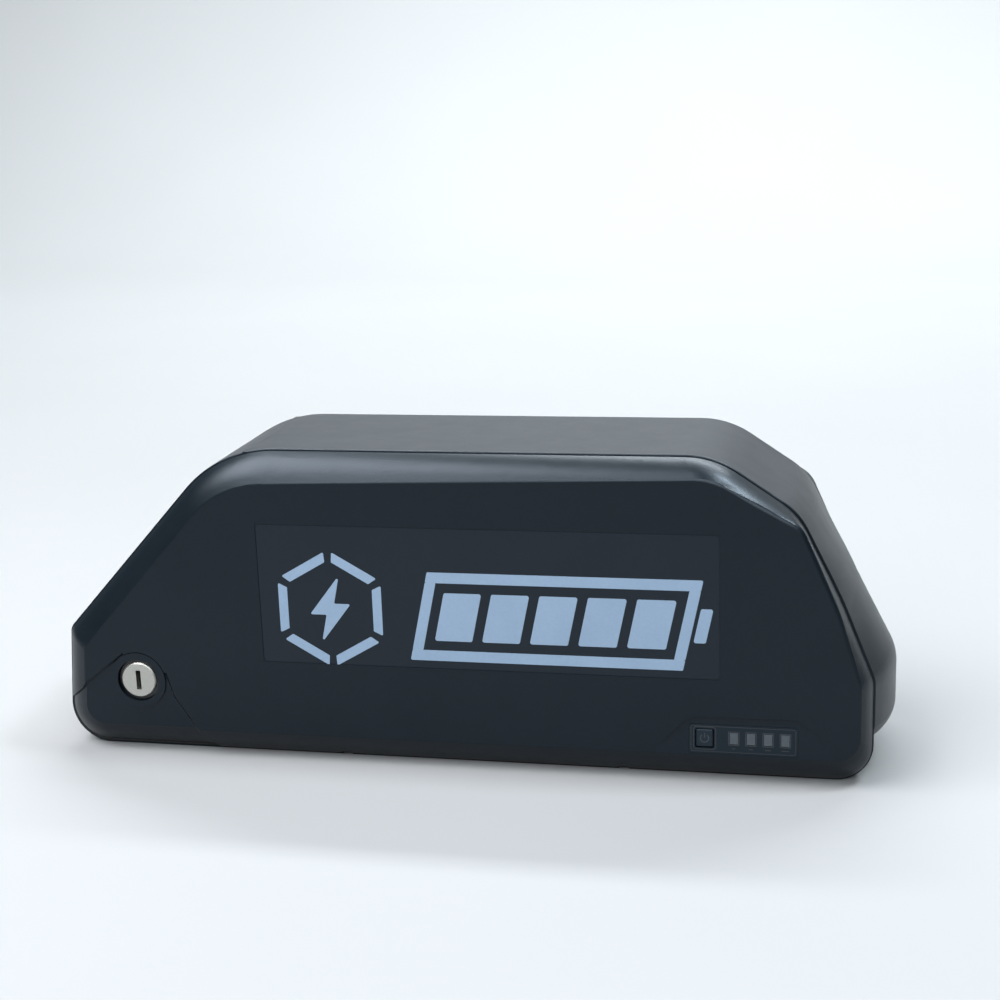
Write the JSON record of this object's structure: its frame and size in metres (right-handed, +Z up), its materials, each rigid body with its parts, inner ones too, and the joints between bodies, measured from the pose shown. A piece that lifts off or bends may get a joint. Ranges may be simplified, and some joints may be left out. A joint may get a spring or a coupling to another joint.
{
  "type": "e-bike battery pack",
  "caption": "Removable lithium battery pack: rounded trapezoid case with key lock, charge indicator, power button and slide rail underside.",
  "frame": {"origin": "centre of the footprint, on the surface the pack stands on", "axes": "+X along the pack from the lock end to the nose end, +Y from the lock side to the charge socket side, +Z up"},
  "size_m": [0.36, 0.092, 0.136],
  "materials": {
    "case_plastic": "fine textured satin",
    "seal_rubber": "matte",
    "screw_steel": "zinc plated",
    "brass": "satin",
    "lock_black": "black passivated",
    "lock_metal": "satin nickel plate",
    "plain_steel": "zinc plated",
    "label_film": "semi gloss film",
    "clear_plastic": "clear moulded",
    "button_rubber": "matte",
    "white_plastic": "moulded",
    "board_green": "solder mask",
    "lamp_resin": "resin",
    "decal_film": "film with pale blue print",
    "holder_plastic": "moulded",
    "nickel": "rolled",
    "insulation_paper": "pressed fibre",
    "foam": "closed cell",
    "aluminium": "extruded",
    "chip_black": "moulded resin",
    "socket_plastic": "moulded",
    "socket_metal": "nickel plate",
    "cap_rubber": "matte",
    "fuse_plastic": "moulded",
    "lead_red": "silicone insulation",
    "lead_black": "silicone insulation",
    "lead_grey": "jacketed cable",
    "ribbon_white": "flat cable",
    "cell_wrap": "shrink wrap"
  },
  "bodies": {
    "pack": {"centre_shell": "case_plastic", "cover_near": "case_plastic", "cover_far": "case_plastic", "gasket_near": "seal_rubber", "gasket_far": "seal_rubber", "tie_screws": "screw_steel", "threaded_inserts": "brass", "lock_housing": "lock_black", "lock_screws": "screw_steel", "indicator_label": "label_film", "light_guides": "clear_plastic", "power_switch": "white_plastic", "indicator_board": "board_green", "indicator_lamps": "lamp_resin", "board_screws": "screw_steel", "side_decal": "decal_film", "cell_holder_near": "holder_plastic", "cell_holder_far": "holder_plastic", "nickel_strips_near": "nickel", "nickel_strips_far": "nickel", "insulation_near": "insulation_paper", "insulation_far": "insulation_paper", "floor_pad": "foam", "foam_block": "foam", "bms_tray": "white_plastic", "bms_board": "board_green", "bms_screws": "screw_steel", "heat_sink_bar": "aluminium", "bms_switches": "chip_black", "bms_connector": "white_plastic", "bms_terminals": "brass", "rail_plate": "plain_steel", "rail_screws": "screw_steel", "discharge_socket": "socket_plastic", "power_contacts": "brass", "signal_pins": "brass", "charge_socket": "socket_metal", "charge_socket_nut": "socket_metal", "cap_anchor": "cap_rubber", "main_fuse": "fuse_plastic", "lead_positive": "lead_red", "lead_output": "lead_black", "lead_charge": "lead_grey", "lead_negative": "lead_black", "sense_ribbon": "ribbon_white", "indicator_ribbon": "ribbon_white", "cell_row_1": "cell_wrap", "cell_row_2": "cell_wrap", "cell_row_3": "cell_wrap", "cell_row_4": "cell_wrap", "cell_row_5": "cell_wrap"},
    "lock": {"lock_cylinder": "lock_metal", "lock_cam": "plain_steel", "cam_screw": "screw_steel"},
    "bolt": {"lock_bolt": "plain_steel"},
    "button": {"power_button": "button_rubber"},
    "cap": {"charge_cap": "cap_rubber"}
  },
  "joints": [
    {"name": "lock_turn", "type": "hinge", "parent": "pack", "child": "lock", "pos_m": [-0.14265, -0.0453, 0.0337], "axis": [0, -1, 0], "range_deg": [0, 90]},
    {"name": "bolt_slide", "type": "slide", "parent": "pack", "child": "bolt", "axis": [0, 0, 1], "range_m": [0, 0.00706]},
    {"name": "button_press", "type": "slide", "parent": "pack", "child": "button", "axis": [0, 0.9972, -0.0754], "range_m": [0, 0.0008], "stiffness_N_per_m": 900},
    {"name": "cap_swing", "type": "hinge", "parent": "pack", "child": "cap", "pos_m": [0.1455, 0.045, 0.032], "axis": [0, 0, -1], "range_deg": [0, 110]}
  ],
  "couplings": [
    {"joint": "lock_turn", "follows": "bolt_slide", "rad_per_m": 222.2}
  ]
}
